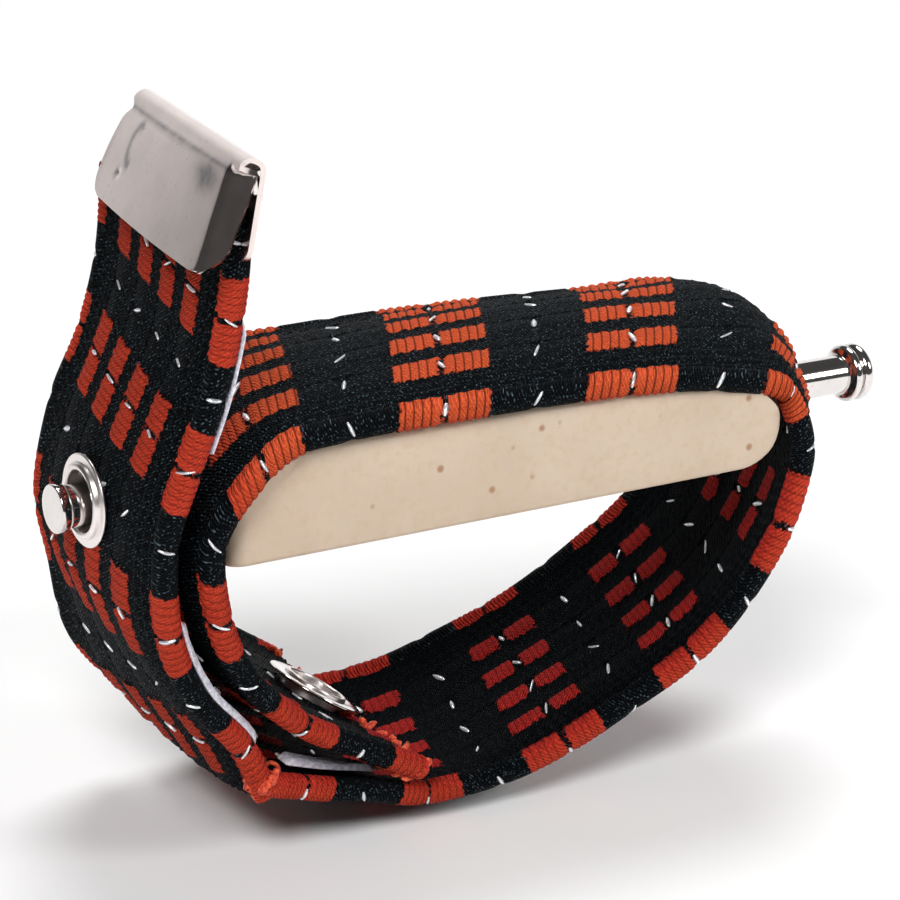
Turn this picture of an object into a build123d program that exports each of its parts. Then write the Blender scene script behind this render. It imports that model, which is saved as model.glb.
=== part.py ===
"""Elastic strap capo: a rubber-faced bar held across a fingerboard by a loop of woven elastic.

Frame: millimetres, +Z up, +X along the bar, +Y across the strap.
Origin: centre of the flat underside of the rubber pad, the face that presses on the strings.
The strap's hanging loop is turned about the axis of the two pegs, as its eyelets allow.
"""
from build123d import *
import os
from math import cos, radians, sin, tan

# ---- driving dimensions ------------------------------------------------------------------
STRAP_WIDTH = 25.0        # woven elastic, 1 inch webbing
STRAP_THICK = 2.0
LOOP_TURN = 14.0          # degrees the hanging loop is turned about the peg axis

PEG_Z = 2.8               # height of the peg axis over the pad's underside
PEG_DIA = 3.4

PAD_LENGTH = 52.0
PAD_WIDTH = 22.0
PAD_HEIGHT = 10.6
PAD_RIDGE_RADIUS = 16.0
PAD_FLANK = 14.0          # degrees, slope of the pad's two upper flanks
PAD_END_RADIUS = 8.0
PAD_EDGE_RADIUS = 1.5

BAR_LENGTH = 48.0         # steel core inside the pad
BAR_WIDTH = 8.0
BAR_THICK = 3.0

SIDE_X = 27.9             # strap's middle surface where it goes down each end of the bar
TOP_Z = 11.7              # strap's middle surface over the bar
FREE_X = -31.9            # strap's middle surface where its free end passes the left peg

PEG_STEM = 5.0            # length of each peg's stem inside the bar
PEG_STEM_DIA = 2.4
LEFT_TIP_X = -35.8
LEFT_HEAD_DIA = 3.9
LEFT_HEAD_THICK = 0.9
RIGHT_TIP_X = 41.7
RIGHT_HEAD_DIA = 5.0
RIGHT_HEAD_THICK = 2.0
HEAD_GROOVE = 0.35        # groove round the middle of the right head
HEAD_EDGE_RADIUS = 0.3

EYELET_HOLE_DIA = 5.4
EYELET_WALL = 0.3
EYELET_FLANGE_DIA = 7.5
EYELET_FLANGE_THICK = 0.4
EYELET_RIM = 0.35         # height of the rolled rim over the flange
EYELET_EDGE = 0.1         # broken edges of the rim
FLANGE_EDGE = 0.15        # broken edges of the flange and the washer
FREE_EYELET_LIFT = 0.3    # the hooked eyelet sits this far over the peg axis
SPARE_EYELET_X = -8.6

LINING_THICK = 0.5
LINING_WIDTH = 21.0
LINING_TIP_GAP = 0.1      # the lining of the tip stands this far off the strap's slight bend

TAB_SHEET = 0.5
TAB_WIDTH = 25.0
TAB_BACK = 7.5            # how far the tab's back plate reaches down behind the strap
TAB_FLAP = 8.6            # height of its front flap
TAB_STAND_OFF = 3.7       # how far the flap's lower edge stands off the strap
TAB_TOP = 2.2             # height of its fold over the strap's cut end
TAB_FOLD_RADIUS = 1.2
TAB_CORNER = 1.5          # radius of the flap's two lower corners
CLIP_SHEET = 0.4
CLIP_LEG = 4.0
CLIP_FOLD_RADIUS = 0.25
CLIP_INSET = 0.5          # the clip ends this far inside the strap's two edges

STITCH_LENGTH = 1.6
STITCH_THICK = 0.4
STITCH_COUNT = 7
STITCH_PITCH = 3.2
KINK_STITCH_SHARE = 0.82  # where the seams lie along their straight runs
TAIL_STITCH_SHARE = 0.07

# ---- the strap's middle surface, (x, z): straight runs joined by tangent arcs --------------
# All but the top are given in the turned frame of the hanging loop.
TOP_LINE = [(-SIDE_X, PEG_Z), (-SIDE_X, TOP_Z), (SIDE_X, TOP_Z), (SIDE_X, PEG_Z)]
TOP_RADII = [5.0, 5.0]
LOOP_LINE = [(SIDE_X, PEG_Z), (SIDE_X, -8.0), (21.5, -18.2), (7.0, -25.8),
             (-4.0, -26.8), (-20.3, -22.2), (-24.4, -14.9)]
LOOP_RADII = [12.0, 16.0, 20.0, 20.0, 3.0]
TAIL_LINE = [(-SIDE_X, PEG_Z), (-SIDE_X, -2.8), (-22.3, -11.2), (-16.0, -17.4), (-3.6, -24.4)]
TAIL_RADII = [5.0, 12.0, 20.0]
FREE_LINE = [(-24.6, -14.5), (FREE_X, -4.4), (FREE_X, 10.0)]
FREE_RADII = [9.0]
TIP_LINE = [(FREE_X, 10.3), (-29.6, 20.5), (-26.4, 33.0)]
TIP_RADII = [60.0]
LINING_FREE_LINE = [*FREE_LINE[:2], (FREE_X, -0.9)]
LINING_TIP_LINE = [(-31.8, 10.8), (-29.4, 21.1)]
LINING_LOOP_LINE = [(-8.0, -25.67), (-18.6, -22.68)]

PEG_AXIS = Axis((0, 0, PEG_Z), (1, 0, 0))
FAR = 100.0               # larger than the whole object, for cutting solids
SAME = 1e-4               # lengths closer than this are equal


# ---- helpers ------------------------------------------------------------------------------
def turned(shape):
    """Carry a shape from the loop's own frame into the model's frame."""
    return shape.rotate(PEG_AXIS, LOOP_TURN)


def rail(line, distance):
    """A line moved sideways: to the left of its direction when the distance is positive."""
    if distance == 0:
        return line
    side = Side.LEFT if distance > 0 else Side.RIGHT
    return line.offset_2d(abs(distance), kind=Kind.ARC, side=side, closed=False)


def strip(points, radii, thick, width, shift=0.0):
    """A strip of sheet along straight runs and tangent arcs, extruded across Y."""
    drawn = FilletPolyline(*points, radius=radii) if radii else Polyline(*points)
    line = Wire(drawn.edges())
    rails = [rail(line, shift + thick / 2), rail(line, shift - thick / 2)]
    caps = []
    for end in (line @ 0, line @ 1):
        corners = [min(r @ 0, r @ 1, key=lambda p: (p - end).length) for r in rails]
        caps.append(Line(*corners))
    face = make_face([*rails[0].edges(), *rails[1].edges(), *caps])
    return extrude(Plane.XZ * face, amount=width / 2, both=True)


def on_run(start, end, share, lift=0.0):
    """A plane on a straight run of the strap: its x along the run, its z to the run's right."""
    run = Vector(end[0] - start[0], 0, end[1] - start[1])
    ahead = run.normalized()
    right = Vector(ahead.Z, 0, -ahead.X)
    at = Vector(start[0], 0, start[1]) + run * share
    return Plane(at + right * lift, x_dir=ahead, z_dir=right)


def peg_bore(radius, lift=0.0):
    """A long bar along the peg axis, for cutting the strap's holes."""
    return Pos(0, 0, PEG_Z + lift) * rod(radius, FAR)


def rod(radius, length, x=0.0):
    """A round rod along X, its middle at x."""
    return Pos(x, 0, 0) * Rot(0, 90, 0) * Cylinder(radius, length)


def ring(points):
    """A solid of revolution about Z, from a closed outline of (radius, height) points."""
    outline = Polyline(*[(r, 0, z) for r, z in points], close=True)
    return revolve(make_face(outline), Axis.Z)


# ---- pad and bar --------------------------------------------------------------------------
def core_bar():
    """A flat bar with a blind hole in each end for a peg's stem."""
    bar = Box(BAR_LENGTH, BAR_WIDTH, BAR_THICK)
    for side in (-1, 1):
        bar -= rod(PEG_STEM_DIA / 2, PEG_STEM, side * (BAR_LENGTH - PEG_STEM) / 2)
    return Pos(0, 0, PEG_Z) * bar


def rubber_pad():
    """A loaf: flat underside, upright sides, two flanks and a rounded ridge under the strap."""
    half = PAD_WIDTH / 2
    slope = radians(PAD_FLANK)
    ridge_y = PAD_RIDGE_RADIUS * sin(slope)
    ridge_z = PAD_HEIGHT - PAD_RIDGE_RADIUS * (1 - cos(slope))
    side_z = ridge_z - (half - ridge_y) * tan(slope)
    section = make_face([
        Polyline((-ridge_y, ridge_z), (-half, side_z), (-half, 0), (half, 0), (half, side_z),
                 (ridge_y, ridge_z)),
        ThreePointArc((-ridge_y, ridge_z), (0, PAD_HEIGHT), (ridge_y, ridge_z)),
    ])
    loaf = extrude(Plane.YZ * section, amount=PAD_LENGTH / 2, both=True)

    side_view = Pos(0, PAD_HEIGHT / 2) * Rectangle(PAD_LENGTH, PAD_HEIGHT)
    side_view = fillet(side_view.vertices().group_by(Axis.Y)[-1], PAD_END_RADIUS)
    side_view = fillet(side_view.vertices().group_by(Axis.Y)[0], PAD_EDGE_RADIUS)
    loaf &= extrude(Plane.XZ * side_view, amount=half, both=True)

    loaf -= Pos(0, 0, PEG_Z) * Box(BAR_LENGTH, BAR_WIDTH, BAR_THICK)
    return loaf - peg_bore(PEG_DIA / 2)


def peg(tip_x, head_dia, head_thick, grooved):
    """A peg along X, from its stem in the bar's end to the outer face of its head."""
    side = 1 if tip_x > 0 else -1
    root_x = side * BAR_LENGTH / 2
    neck_x = tip_x - side * head_thick
    stem = rod(PEG_STEM_DIA / 2, PEG_STEM, root_x - side * PEG_STEM / 2)
    shank = rod(PEG_DIA / 2, abs(neck_x - root_x), (root_x + neck_x) / 2)
    head = Cylinder(head_dia / 2, head_thick)
    head = fillet(head.edges().filter_by(GeomType.CIRCLE), HEAD_EDGE_RADIUS)
    if grooved:
        head -= Torus(head_dia / 2, HEAD_GROOVE)
    head = Pos(tip_x - side * head_thick / 2, 0, 0) * Rot(0, 90, 0) * head
    return Pos(0, 0, PEG_Z) * (stem + shank + head)


# ---- strap --------------------------------------------------------------------------------
def halves():
    """Two half spaces, over and under the mitre between the bar's strap and the hanging loop."""
    mitre = Pos(0, 0, PEG_Z) * Rot(LOOP_TURN / 2, 0, 0)
    block = Box(FAR, FAR, FAR)
    return mitre * Pos(0, 0, FAR / 2) * block, mitre * Pos(0, 0, -FAR / 2) * block


def mitred(points, radii, keep, turn):
    """A length of strap that meets the next one on the mitre through the peg axis."""
    overlap = STRAP_WIDTH / 2 * tan(radians(LOOP_TURN))
    past = PEG_Z + (overlap if turn else -overlap)
    longer = [(x, past if z == PEG_Z else z) for x, z in points]
    solid = strip(longer, radii, STRAP_THICK, STRAP_WIDTH)
    if turn:
        solid = turned(solid)
    return solid & keep


def strap_parts():
    over, under = halves()
    bore = EYELET_HOLE_DIA / 2 + EYELET_WALL
    parts = {
        "strap_over_bar": mitred(TOP_LINE, TOP_RADII, over, turn=False),
        "strap_loop": mitred(LOOP_LINE, LOOP_RADII, under, turn=True),
        "strap_tail": mitred(TAIL_LINE, TAIL_RADII, under, turn=True),
    }
    for name in parts:
        parts[name] -= peg_bore(bore)
    parts["strap_tail"] -= turned(spare_place() * Cylinder(bore, 3 * STRAP_THICK))
    free_run = strip(FREE_LINE, FREE_RADII, STRAP_THICK, STRAP_WIDTH)
    parts["strap_free_run"] = turned(free_run - peg_bore(bore, FREE_EYELET_LIFT))
    parts["strap_tip"] = turned(strip(TIP_LINE, TIP_RADII, STRAP_THICK, STRAP_WIDTH))
    return parts


def spare_place():
    start, end = TAIL_LINE[-2:]
    share = (SPARE_EYELET_X - start[0]) / (end[0] - start[0])
    return on_run(end, start, 1 - share).location


def lining(points, radii, gap=0.0):
    """A tape on the strap's inner face."""
    shift = -(STRAP_THICK + LINING_THICK) / 2 - gap
    return turned(strip(points, radii, LINING_THICK, LINING_WIDTH, shift))


def lining_parts():
    return {
        "lining_free_run": lining(LINING_FREE_LINE, FREE_RADII),
        "lining_tip": lining(LINING_TIP_LINE, None, LINING_TIP_GAP),
        "lining_loop": lining(LINING_LOOP_LINE, None),
    }


# ---- eyelets ------------------------------------------------------------------------------
def eyelet():
    """A flanged barrel through the strap, its far end rolled over the washer. Flange on +Z."""
    hole = EYELET_HOLE_DIA / 2
    wall = hole + EYELET_WALL
    rim = hole + 2 * EYELET_WALL
    flange = EYELET_FLANGE_DIA / 2
    face = STRAP_THICK / 2
    outer = face + EYELET_FLANGE_THICK
    top = outer + EYELET_RIM
    edge = EYELET_EDGE
    rolled_end = [(hole, -top + edge), (hole + edge, -top), (rim - edge, -top), (rim, -top + edge)]
    barrel = [(rim, -outer), (wall, -outer), (wall, face), (flange, face)]
    collar = [(flange, outer - FLANGE_EDGE), (flange - FLANGE_EDGE, outer), (rim, outer)]
    rim_end = [(rim, top - edge), (rim - edge, top), (hole + edge, top), (hole, top - edge)]
    return ring(rolled_end + barrel + collar + rim_end)


def eyelet_washer():
    """The flat ring under the rolled end of an eyelet."""
    wall = EYELET_HOLE_DIA / 2 + EYELET_WALL
    flange = EYELET_FLANGE_DIA / 2
    face = STRAP_THICK / 2
    outer = face + EYELET_FLANGE_THICK
    outside = [(flange - FLANGE_EDGE, -outer), (flange, -outer + FLANGE_EDGE), (flange, -face)]
    return ring([(wall, -outer), *outside, (wall, -face)])


def facing(x, z, way):
    """Where an eyelet goes on a side of the strap, its flange towards +X or -X."""
    return Plane((x, 0, z), x_dir=(0, 1, 0), z_dir=(way, 0, 0)).location


def eyelet_parts():
    places = {
        "left_eyelet": facing(-SIDE_X, PEG_Z, -1),
        "right_eyelet": facing(SIDE_X, PEG_Z, 1),
        "hooked_eyelet": facing(FREE_X, PEG_Z + FREE_EYELET_LIFT, -1),
        "spare_eyelet": spare_place(),
    }
    parts = {}
    for name, place in places.items():
        parts[name] = turned(place * eyelet())
        parts[f"{name}_washer"] = turned(place * eyelet_washer())
    return parts


# ---- pull tab -----------------------------------------------------------------------------
def tab_parts():
    """Folded sheet over the strap's cut end, and the channel inside it that grips the strap."""
    start, end = TIP_LINE[-2:]
    top = on_run(start, end, 1.0)
    along, inward = top.x_dir, top.z_dir

    def at(out, up):
        point = top.origin - inward * out + along * up
        return (point.X, point.Z)

    grip = STRAP_THICK / 2 + CLIP_SHEET / 2
    over = CLIP_SHEET / 2
    clip_line = [at(-grip, -CLIP_LEG), at(-grip, over), at(grip, over), at(grip, -CLIP_LEG)]
    clip = strip(clip_line, [CLIP_FOLD_RADIUS] * 2, CLIP_SHEET, STRAP_WIDTH - 2 * CLIP_INSET)

    back = grip + (CLIP_SHEET + TAB_SHEET) / 2
    flap_drop = (TAB_FLAP**2 - TAB_STAND_OFF**2) ** 0.5
    tab_line = [at(-back, -TAB_BACK), at(-back, TAB_TOP), at(back, TAB_TOP),
                at(back + TAB_STAND_OFF, TAB_TOP - flap_drop)]
    tab = strip(tab_line, [TAB_FOLD_RADIUS] * 2, TAB_SHEET, TAB_WIDTH)
    across_sheet = tab.edges().filter_by(lambda edge: abs(edge.length - TAB_SHEET) < SAME)
    tab = fillet(across_sheet.sort_by(Axis.X)[:2], TAB_CORNER)
    return {"pull_tab": turned(tab), "end_clip": turned(clip)}


# ---- stitching ----------------------------------------------------------------------------
def stitches(start, end, share, lift):
    """A row of short threads across the strap, lying on its face."""
    place = on_run(start, end, share, lift)
    row = []
    for i in range(STITCH_COUNT):
        y = (i - (STITCH_COUNT - 1) / 2) * STITCH_PITCH
        thread = Box(STITCH_LENGTH, STITCH_THICK, STITCH_THICK)
        row.append(turned(place.location * Pos(0, y, 0) * thread))
    return Compound(children=row)


def main():
    os.makedirs("parts", exist_ok=True)
    face = (STRAP_THICK + STITCH_THICK) / 2
    parts = {
        "rubber_pad": rubber_pad(),
        "core_bar": core_bar(),
        "left_peg": peg(LEFT_TIP_X, LEFT_HEAD_DIA, LEFT_HEAD_THICK, grooved=False),
        "right_peg": peg(RIGHT_TIP_X, RIGHT_HEAD_DIA, RIGHT_HEAD_THICK, grooved=True),
        "kink_stitches": stitches(LOOP_LINE[-3], LOOP_LINE[-2], KINK_STITCH_SHARE, -face),
        "tail_stitches": stitches(TAIL_LINE[-1], TAIL_LINE[-2], TAIL_STITCH_SHARE, face),
    }
    parts |= strap_parts() | lining_parts() | eyelet_parts() | tab_parts()
    for name, solid in parts.items():
        export_step(solid, f"parts/{name}.step")


main()
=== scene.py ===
import math
import random

import bpy
import numpy as np
from mathutils import Matrix, Vector


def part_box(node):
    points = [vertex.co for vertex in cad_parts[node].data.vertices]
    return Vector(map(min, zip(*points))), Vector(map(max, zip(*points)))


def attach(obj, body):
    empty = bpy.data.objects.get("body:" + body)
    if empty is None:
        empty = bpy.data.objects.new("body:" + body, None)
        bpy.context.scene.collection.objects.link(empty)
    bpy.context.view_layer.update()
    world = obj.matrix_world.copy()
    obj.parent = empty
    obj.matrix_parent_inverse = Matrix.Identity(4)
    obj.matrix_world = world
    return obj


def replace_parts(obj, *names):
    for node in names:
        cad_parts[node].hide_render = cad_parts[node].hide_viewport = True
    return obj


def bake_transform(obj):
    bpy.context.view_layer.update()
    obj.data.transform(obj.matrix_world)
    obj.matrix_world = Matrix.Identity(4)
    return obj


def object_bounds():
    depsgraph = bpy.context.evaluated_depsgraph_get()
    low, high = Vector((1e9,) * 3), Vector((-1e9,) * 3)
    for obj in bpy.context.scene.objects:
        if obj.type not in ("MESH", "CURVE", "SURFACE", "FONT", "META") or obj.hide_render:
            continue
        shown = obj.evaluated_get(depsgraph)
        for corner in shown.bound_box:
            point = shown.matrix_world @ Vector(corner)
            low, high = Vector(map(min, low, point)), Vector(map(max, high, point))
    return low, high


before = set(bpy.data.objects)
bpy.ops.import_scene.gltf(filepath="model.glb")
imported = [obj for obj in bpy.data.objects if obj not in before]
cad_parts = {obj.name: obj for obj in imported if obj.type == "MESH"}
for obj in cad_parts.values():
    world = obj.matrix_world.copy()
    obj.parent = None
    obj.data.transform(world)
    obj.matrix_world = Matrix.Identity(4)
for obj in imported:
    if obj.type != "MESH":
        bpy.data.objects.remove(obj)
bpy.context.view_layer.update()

# Lengths are in millimetres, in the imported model's frame, until mesh_piece turns them into metres.
MM = 0.001

# ---- the strap's weave ----
# A place on the strap is (u, v, lift): u counts half repeats of the pattern along it, v is
# millimetres across it from its middle, and lift is millimetres off its middle surface,
# positive on the outer face. Orange blocks are centred on even u, black ones on odd u.
EDGE_ROW = 11.5            # centre of the round cord along each edge
EDGE_RADIUS = 1.05
INNER_ROWS = (-6.4, -2.13, 2.13, 6.4)
ROW_HALF = 1.25            # half the width of an inner row
FACE_END = 10.7            # where the flat of the strap meets its edge cords
BASE_LIFT = 0.62           # half thickness of the black ground
ROW_RISE = 0.42            # how far an inner row stands over it
BLOCK_HALF = 0.51          # half length of an orange block, in half repeats
PINCH_HALF = 0.055         # half length of the silver thread's gap in its middle
WRAPS = 5                  # thread wraps in each half of a block
HALF_REPEAT = 6.8          # about the length of half a repeat, where the strap hangs slack
DEEP = 9.0                 # stands for a place that is well inside the orange
KINK_FROM, KINK_TO = 22.4, 23.6     # the near cord is orange all along between these
CORD_TURN = math.degrees(math.asin(0.72))   # where an edge cord leaves the flat, round from its inner side
CORD_STEPS = 13            # points round an edge cord
CUT_FROM = 29.4            # the last rows of points spread out from here to the slanted cut end
CUT_NEAR = 31.35           # u of the cut at the near cord
CUT_SLANT = 1.0            # how much sooner the far cord is cut
PEG_Z = 2.8                # height of the pegs' axis
LOOP_TURN = math.radians(14)        # how far the hanging loop is turned about it

# The strap's middle line (x, z), one point for each half repeat. Below the pegs the points are
# in the frame of the hanging loop, which is turned about the pegs' axis.
LOOP_POINTS = [
    (-6.5, -23.7), (-13.2, -19.4), (-19.0, -15.5), (-24.8, -9.5), (-28.1, -2.5), (-28.8, 5.7),
    (-23.9, 9.2), (-16.1, 11.0), (-7.5, 11.6), (1.2, 11.9), (10.3, 11.9), (19.3, 11.5),
    (28.6, 10.3), (33.2, 3.9), (31.5, -5.1), (28.1, -12.8), (22.6, -18.1), (16.4, -21.9),
    (10.4, -24.8), (3.5, -27.8), (-5.1, -28.2), (-12.3, -25.0), (-17.6, -22.3), (-21.4, -20.7),
]
FREE_POINTS = [
    (-20.5, -23.4), (-24.9, -16.8), (-28.6, -10.2), (-31.7, -3.3), (-31.8, 5.4), (-30.2, 12.0),
    (-28.5, 18.1), (-27.9, 24.3), (-27.9, 30.5), (-28.7, 36.7),
]
FREE_FIRST = 23            # u of the free end's first point

# How the strap lies, as (u, value) read smoothly between them. TURN is the hanging loop's share of
# its turn, ROOF the share of the pad's roof shape, CROWN the middle's rise over the edges, SHEAR the
# far edge's lead, SWAY the strap's shift across and TWIST its turn about its own middle, in degrees.
TURN = [(4.9, 1.0), (5.0, 1.0), (6.6, 0.0), (6.7, 0.0), (11.7, 0.0), (11.8, 0.0), (13.4, 1.0), (13.5, 1.0)]
ROOF = [
    (5, 0.0), (6, 0.02), (7, 0.22), (8, 0.32), (9, 0.4), (10, 0.47), (11, 0.54), (12, 0.67),
    (13, 0.38), (14, 0.0),
]
CROWN = [
    (0, 0.8), (2, 0.8), (4, 0.9), (6, 0.5), (8, 0.7), (10, 0.8), (12, 1.2), (13, 1.6), (14, 1.5),
    (15, 1.1), (16, 0.8), (17, 0.7), (18, 0.8), (19, 1.6), (20, 1.9), (22, 0.9), (23, 0.5),
    (24, 0.7), (25, 0.8), (26, 1.4), (27, 1.0), (28, 0.8), (29, 0.2), (30, 0.1), (31, 0.1),
    (32, 0.0),
]
SHEAR = [
    (0, -0.06), (2, 0.02), (4, 0.13), (5, 0.21), (6, 0.31), (7, 0.38), (8, 0.4), (9, 0.42),
    (10, 0.44), (11, 0.47), (12, 0.54), (13, 0.35), (14, 0.13), (15, -0.05), (16, -0.11),
    (17, -0.17), (18, -0.18), (19, -0.2), (20, -0.2), (22, -0.18), (23, -0.18), (24, -0.2),
    (25, -0.19), (26, -0.07), (27, 0.0), (28, 0.01), (29, -0.01), (30, -0.04), (31, -0.06),
    (32, -0.09),
]
TWIST = [
    (0, 9.5), (2, 6.3), (4, 3.8), (5, 1.5), (6, 0.0), (7, 0.5), (8, 0.9), (9, 1.2), (10, 1.5),
    (11, 3.1), (12, 9.4), (13, 12.6), (14, 12.9), (15, 14.7), (16, 12.7), (17, 13.2), (18, 12.0),
    (19, 12.1), (20, 11.4), (22, 6.2), (23, 6.9), (24, 10.5), (25, 2.9), (26, -0.5), (27, -5.2),
    (28, -7.0), (29, -5.8), (30, -3.6), (31, -2.0), (32, -1.0),
]
SWAY = [
    (23, 0.0), (26, 0.6), (28, 0.2), (29, 0.2), (30, 0.9), (31, 1.9), (32, 3.1),
]
SQUEEZE = [(30.8, 1.0), (30.9, 1.0), (31.35, 0.5), (31.5, 0.5)]     # the clip flattens the strap's end
ROOF_RADIUS = 12.0         # the strap's middle surface over the pad's ridge
ROOF_FLANK = math.radians(29)


def smooth(x):
    x = np.clip(x, 0, 1)
    return x * x * (3 - 2 * x)


def read(table, u):
    """A value from a list of (u, value), on a smooth curve through them."""
    marks, values = np.array(table, float).T
    slopes = np.gradient(values, marks)
    u = np.clip(u, marks[0], marks[-1])
    i = np.clip(np.searchsorted(marks, u, side="right") - 1, 0, len(marks) - 2)
    gap = marks[i + 1] - marks[i]
    f = (u - marks[i]) / gap
    return ((1 + 2 * f) * (1 - f) ** 2 * values[i] + f * (1 - f) ** 2 * gap * slopes[i]
            + f * f * (3 - 2 * f) * values[i + 1] + f * f * (f - 1) * gap * slopes[i + 1])


def spline(points, t):
    """Place and direction on a smooth curve through evenly numbered points."""
    points = np.array(points, float)
    t = np.asarray(t, float)
    i = np.clip(np.floor(t).astype(int), 0, len(points) - 2)
    f = (t - i)[..., None]
    tangents = np.gradient(points, axis=0)
    p0, p1, m0, m1 = points[i], points[i + 1], tangents[i], tangents[i + 1]
    place = ((1 + 2 * f) * (1 - f) ** 2 * p0 + f * (1 - f) ** 2 * m0
             + f * f * (3 - 2 * f) * p1 + f * f * (f - 1) * m1)
    ahead = (6 * f * (f - 1) * (p0 - p1) + (1 - f) * (1 - 3 * f) * m0 + f * (3 * f - 2) * m1)
    return place, ahead / np.linalg.norm(ahead, axis=-1, keepdims=True)


def distances(line):
    """How far along a line each of its points is."""
    return np.concatenate([[0], np.cumsum(np.linalg.norm(np.diff(line, axis=0), axis=-1))])


def roof(v):
    """The strap folded over the pad's ridge: how far across and how far down each v lies."""
    bend = ROOF_RADIUS * ROOF_FLANK
    size = np.abs(v)
    round_part = np.minimum(size, bend) / ROOF_RADIUS
    past = np.maximum(size - bend, 0)
    across = ROOF_RADIUS * np.sin(round_part) + past * math.cos(ROOF_FLANK)
    down = ROOF_RADIUS * (1 - np.cos(round_part)) + past * math.sin(ROOF_FLANK)
    return np.sign(v) * across, down


def on_strap(u, v, lift, free=False):
    """Points of the strap in the model's frame, in millimetres."""
    u, v, lift = np.broadcast_arrays(*(np.asarray(k, float) for k in (u, v, lift)))
    first = FREE_FIRST if free else 0
    points = FREE_POINTS if free else LOOP_POINTS
    along = u + read(SHEAR, u) * (v + EDGE_ROW) / HALF_REPEAT
    along = np.clip(along, first, first + len(points) - 1)
    place, ahead = spline(points, along - first)
    zero = np.zeros(along.shape)
    outward = np.stack([-ahead[..., 1], zero, ahead[..., 0]], -1)
    across = np.stack([zero, zero + 1, zero], -1)
    twist = np.radians(read(TWIST, along))[..., None]
    side = across * np.cos(twist) + outward * np.sin(twist)
    up = outward * np.cos(twist) - across * np.sin(twist)
    roof_across, roof_down = roof(v)
    share = read(ROOF, along)
    y = v + (roof_across - v) * share + read(SWAY, along)
    crown = read(CROWN, along)
    down = crown * (v / EDGE_ROW) ** 2 * (1 - share) + roof_down * share
    slope = np.arctan(2 * crown * v / EDGE_ROW ** 2 * (1 - share)
                      + np.sign(v) * np.minimum(np.abs(v) / ROOF_RADIUS, ROOF_FLANK) * share)
    y = y + lift * np.sin(slope)
    height = lift * np.cos(slope) - down
    base = np.stack([place[..., 0], zero, place[..., 1]], -1)
    at = base + side * y[..., None] + up * height[..., None]
    turn = LOOP_TURN * read(TURN, along)
    if free:
        turn = zero + LOOP_TURN
    dy, dz = at[..., 1].copy(), at[..., 2] - PEG_Z
    at[..., 1] = dy * np.cos(turn) - dz * np.sin(turn)
    at[..., 2] = PEG_Z + dy * np.sin(turn) + dz * np.cos(turn)
    return at


# ---- meshes ----
def added(name, data):
    """A new object of this data, in the scene."""
    made = bpy.data.objects.new(name, data)
    bpy.context.scene.collection.objects.link(made)
    return made


def mesh_piece(name, points, faces, material, values=None):
    """A new piece from points in millimetres. values holds named numbers for each point."""
    mesh = bpy.data.meshes.new(name)
    mesh.from_pydata((np.asarray(points, float) * MM).tolist(), [], faces)
    mesh.materials.append(material)
    mesh.polygons.foreach_set("use_smooth", [True] * len(mesh.polygons))
    for key, numbers in (values or {}).items():
        attribute = mesh.attributes.new(key, "FLOAT", "POINT")
        attribute.data.foreach_set("value", np.asarray(numbers, np.float32).ravel())
    mesh.update()
    return added(name, mesh)


def tube_faces(rows, columns, first=0, caps=True):
    """Quads of a tube of rows of points, and with caps its two end faces."""
    faces = []
    for i in range(rows - 1):
        for j in range(columns):
            k = (j + 1) % columns
            a, b = first + i * columns, first + (i + 1) * columns
            faces.append((a + j, a + k, b + k, b + j))
    if caps:
        last = first + (rows - 1) * columns
        faces.append(tuple(range(first + columns - 1, first - 1, -1)))
        faces.append(tuple(range(last, last + columns)))
    return faces


def sharpen(piece, degrees=40):
    """Keeps edges sharper than this from being shaded as round."""
    piece.data.set_sharp_from_angle(angle=math.radians(degrees))
    return piece


TURNED_SIDES = 72          # points round a turned piece


def lathe(name, profile, material, place):
    """A turned piece. profile is (radius, height), from axis to axis or round a ring's section."""
    profile = np.array(profile, float)
    angles = np.arange(TURNED_SIDES) * 2 * math.pi / TURNED_SIDES
    rows = [np.stack([r * np.cos(angles), r * np.sin(angles), 0 * angles + z], -1) for r, z in profile]
    points = np.concatenate(rows)
    faces = tube_faces(len(rows), TURNED_SIDES, caps=False)
    if tuple(profile[0]) == tuple(profile[-1]):
        points = points[:-TURNED_SIDES]
        faces = [tuple(k % len(points) for k in face) for face in faces]
    matrix = np.array(place)
    points = points @ matrix[:3, :3].T + matrix[:3, 3]
    return sharpen(mesh_piece(name, points, faces, material))


def arc(cx, cz, radius, start, end, steps):
    """Points of a round corner, for a profile."""
    return [(cx + radius * math.cos(math.radians(start + (end - start) * i / steps)),
             cz + radius * math.sin(math.radians(start + (end - start) * i / steps)))
            for i in range(steps + 1)]


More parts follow.
